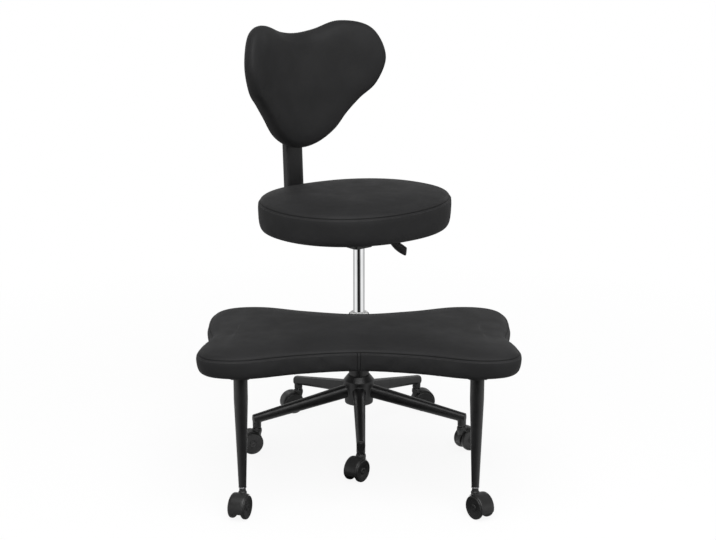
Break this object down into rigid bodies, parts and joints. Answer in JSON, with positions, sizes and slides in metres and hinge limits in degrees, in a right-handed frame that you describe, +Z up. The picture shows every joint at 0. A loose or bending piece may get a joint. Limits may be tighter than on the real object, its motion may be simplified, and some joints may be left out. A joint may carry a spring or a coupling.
{
  "type": "cross-legged office chair",
  "caption": "Office chair with a round swivel seat and a heart-shaped back on a gas lift, and a wide lobed footrest that turns round the column on its own castered legs.",
  "frame": {"origin": "floor point under the middle of the chair's bounding box", "axes": "+Z up, -Y towards the footrest's front edge, +X to the right as seen from the footrest"},
  "size_m": [0.7126, 0.8046, 1.0228],
  "materials": {
    "leather": "soft grained black leather",
    "black_paint": "satin black powder coat",
    "black_steel": "blackened steel",
    "bright_steel": "zinc-plated steel",
    "chrome": "polished",
    "black_plastic": "fine moulded grain",
    "pale_plastic": "plain moulded",
    "caster_hood": "satin moulded nylon",
    "caster_wheel": "moulded nylon",
    "caster_steel": "zinc-plated steel",
    "plywood": "raw moulded plywood"
  },
  "bodies": {
    "base": {"star_base": "black_paint", "stand_tube": "black_paint", "guide_bush": "pale_plastic", "stop_ring": "black_steel", "caster_front_stem": "caster_steel", "caster_front_right_stem": "caster_steel", "caster_back_right_stem": "caster_steel", "caster_back_left_stem": "caster_steel", "caster_front_left_stem": "caster_steel"},
    "lift_rod": {"gas_rod": "chrome", "thrust_bearing": "bright_steel"},
    "seat": {"gas_cylinder": "chrome", "seat_plate": "black_paint", "seat_board": "plywood", "seat_cushion": "leather", "back_bar": "black_paint", "back_board": "plywood", "back_cushion": "leather", "lever_pin": "bright_steel"},
    "lever": {"lever_rod": "black_steel", "lever_paddle": "black_plastic"},
    "valve": {"valve_button": "bright_steel"},
    "footrest": {"footrest_bracket": "black_paint", "collar_bush": "black_plastic", "footrest_board": "plywood", "footrest_cushion": "leather", "leg_left": "black_paint", "leg_right": "black_paint", "caster_leg_left_stem": "caster_steel", "caster_leg_right_stem": "caster_steel"},
    "caster_front": {"caster_front_hood": "caster_hood", "caster_front_axle": "caster_steel"},
    "caster_front_wheel_a": {"caster_front_wheel_a": "caster_wheel"},
    "caster_front_wheel_b": {"caster_front_wheel_b": "caster_wheel"},
    "caster_front_right": {"caster_front_right_hood": "caster_hood", "caster_front_right_axle": "caster_steel"},
    "caster_front_right_wheel_a": {"caster_front_right_wheel_a": "caster_wheel"},
    "caster_front_right_wheel_b": {"caster_front_right_wheel_b": "caster_wheel"},
    "caster_back_right": {"caster_back_right_hood": "caster_hood", "caster_back_right_axle": "caster_steel"},
    "caster_back_right_wheel_a": {"caster_back_right_wheel_a": "caster_wheel"},
    "caster_back_right_wheel_b": {"caster_back_right_wheel_b": "caster_wheel"},
    "caster_back_left": {"caster_back_left_hood": "caster_hood", "caster_back_left_axle": "caster_steel"},
    "caster_back_left_wheel_a": {"caster_back_left_wheel_a": "caster_wheel"},
    "caster_back_left_wheel_b": {"caster_back_left_wheel_b": "caster_wheel"},
    "caster_front_left": {"caster_front_left_hood": "caster_hood", "caster_front_left_axle": "caster_steel"},
    "caster_front_left_wheel_a": {"caster_front_left_wheel_a": "caster_wheel"},
    "caster_front_left_wheel_b": {"caster_front_left_wheel_b": "caster_wheel"},
    "caster_leg_left": {"caster_leg_left_hood": "caster_hood", "caster_leg_left_axle": "caster_steel"},
    "caster_leg_left_wheel_a": {"caster_leg_left_wheel_a": "caster_wheel"},
    "caster_leg_left_wheel_b": {"caster_leg_left_wheel_b": "caster_wheel"},
    "caster_leg_right": {"caster_leg_right_hood": "caster_hood", "caster_leg_right_axle": "caster_steel"},
    "caster_leg_right_wheel_a": {"caster_leg_right_wheel_a": "caster_wheel"},
    "caster_leg_right_wheel_b": {"caster_leg_right_wheel_b": "caster_wheel"}
  },
  "joints": [
    {"name": "seat_swivel", "type": "hinge", "parent": "base", "child": "lift_rod", "pos_m": [0, 0.1315, 0], "axis": [0, 0, 1], "continuous": true},
    {"name": "seat_lift", "type": "slide", "parent": "lift_rod", "child": "seat", "axis": [0, 0, 1], "range_m": [-0.1, 0.02]},
    {"name": "lever_tip", "type": "hinge", "parent": "seat", "child": "lever", "pos_m": [0.01838, 0.14693, 0.5347], "axis": [0.6428, -0.766, 0], "range_deg": [0, 6], "stiffness_Nm_per_rad": 4, "springref_deg": -8.59},
    {"name": "valve_press", "type": "slide", "parent": "seat", "child": "valve", "axis": [0, 0, 1], "range_m": [-0.0035, 0]},
    {"name": "footrest_swivel", "type": "hinge", "parent": "base", "child": "footrest", "pos_m": [0, 0.1315, 0], "axis": [0, 0, 1], "continuous": true},
    {"name": "caster_front_swivel", "type": "hinge", "parent": "base", "child": "caster_front", "pos_m": [0.00462, -0.13346, 0], "axis": [0, 0, 1], "continuous": true},
    {"name": "caster_front_wheel_a_spin", "type": "hinge", "parent": "caster_front", "child": "caster_front_wheel_a", "pos_m": [-0.00513, -0.14738, 0.027], "axis": [0.8192, -0.5736, 0], "continuous": true},
    {"name": "caster_front_wheel_b_spin", "type": "hinge", "parent": "caster_front", "child": "caster_front_wheel_b", "pos_m": [-0.00513, -0.14738, 0.027], "axis": [0.8192, -0.5736, 0], "continuous": true},
    {"name": "caster_front_right_swivel", "type": "hinge", "parent": "base", "child": "caster_front_right", "pos_m": [0.25342, 0.05402, 0], "axis": [0, 0, 1], "continuous": true},
    {"name": "caster_front_right_wheel_a_spin", "type": "hinge", "parent": "caster_front_right", "child": "caster_front_right_wheel_a", "pos_m": [0.26751, 0.06353, 0.027], "axis": [-0.5592, 0.829, 0], "continuous": true},
    {"name": "caster_front_right_wheel_b_spin", "type": "hinge", "parent": "caster_front_right", "child": "caster_front_right_wheel_b", "pos_m": [0.26751, 0.06353, 0.027], "axis": [-0.5592, 0.829, 0], "continuous": true},
    {"name": "caster_back_right_swivel", "type": "hinge", "parent": "base", "child": "caster_back_right", "pos_m": [0.152, 0.34858, 0], "axis": [0, 0, 1], "continuous": true},
    {"name": "caster_back_right_wheel_a_spin", "type": "hinge", "parent": "caster_back_right", "child": "caster_back_right_wheel_a", "pos_m": [0.16842, 0.35297, 0.027], "axis": [-0.2588, 0.9659, 0], "continuous": true},
    {"name": "caster_back_right_wheel_b_spin", "type": "hinge", "parent": "caster_back_right", "child": "caster_back_right_wheel_b", "pos_m": [0.16842, 0.35297, 0.027], "axis": [-0.2588, 0.9659, 0], "continuous": true},
    {"name": "caster_back_left_swivel", "type": "hinge", "parent": "base", "child": "caster_back_left", "pos_m": [-0.15948, 0.34314, 0], "axis": [0, 0, 1], "continuous": true},
    {"name": "caster_back_left_wheel_a_spin", "type": "hinge", "parent": "caster_back_left", "child": "caster_back_left_wheel_a", "pos_m": [-0.17546, 0.33732, 0.027], "axis": [0.342, -0.9397, 0], "continuous": true},
    {"name": "caster_back_left_wheel_b_spin", "type": "hinge", "parent": "caster_back_left", "child": "caster_back_left_wheel_b", "pos_m": [-0.17546, 0.33732, 0.027], "axis": [0.342, -0.9397, 0], "continuous": true},
    {"name": "caster_front_left_swivel", "type": "hinge", "parent": "base", "child": "caster_front_left", "pos_m": [-0.25056, 0.04522, 0], "axis": [0, 0, 1], "continuous": true},
    {"name": "caster_front_left_wheel_a_spin", "type": "hinge", "parent": "caster_front_left", "child": "caster_front_left_wheel_a", "pos_m": [-0.26609, 0.03831, 0.027], "axis": [0.4067, -0.9135, 0], "continuous": true},
    {"name": "caster_front_left_wheel_b_spin", "type": "hinge", "parent": "caster_front_left", "child": "caster_front_left_wheel_b", "pos_m": [-0.26609, 0.03831, 0.027], "axis": [0.4067, -0.9135, 0], "continuous": true},
    {"name": "caster_leg_left_swivel", "type": "hinge", "parent": "footrest", "child": "caster_leg_left", "pos_m": [-0.2583, -0.3535, 0], "axis": [0, 0, 1], "continuous": true},
    {"name": "caster_leg_left_wheel_a_spin", "type": "hinge", "parent": "caster_leg_left", "child": "caster_leg_left_wheel_a", "pos_m": [-0.26355, -0.36967, 0.027], "axis": [0.9511, -0.309, 0], "continuous": true},
    {"name": "caster_leg_left_wheel_b_spin", "type": "hinge", "parent": "caster_leg_left", "child": "caster_leg_left_wheel_b", "pos_m": [-0.26355, -0.36967, 0.027], "axis": [0.9511, -0.309, 0], "continuous": true},
    {"name": "caster_leg_right_swivel", "type": "hinge", "parent": "footrest", "child": "caster_leg_right", "pos_m": [0.2583, -0.3535, 0], "axis": [0, 0, 1], "continuous": true},
    {"name": "caster_leg_right_wheel_a_spin", "type": "hinge", "parent": "caster_leg_right", "child": "caster_leg_right_wheel_a", "pos_m": [0.26805, -0.36743, 0.027], "axis": [0.8192, 0.5736, 0], "continuous": true},
    {"name": "caster_leg_right_wheel_b_spin", "type": "hinge", "parent": "caster_leg_right", "child": "caster_leg_right_wheel_b", "pos_m": [0.26805, -0.36743, 0.027], "axis": [0.8192, 0.5736, 0], "continuous": true}
  ],
  "couplings": [
    {"joint": "valve_press", "follows": "lever_tip", "m_per_rad": -0.024}
  ]
}
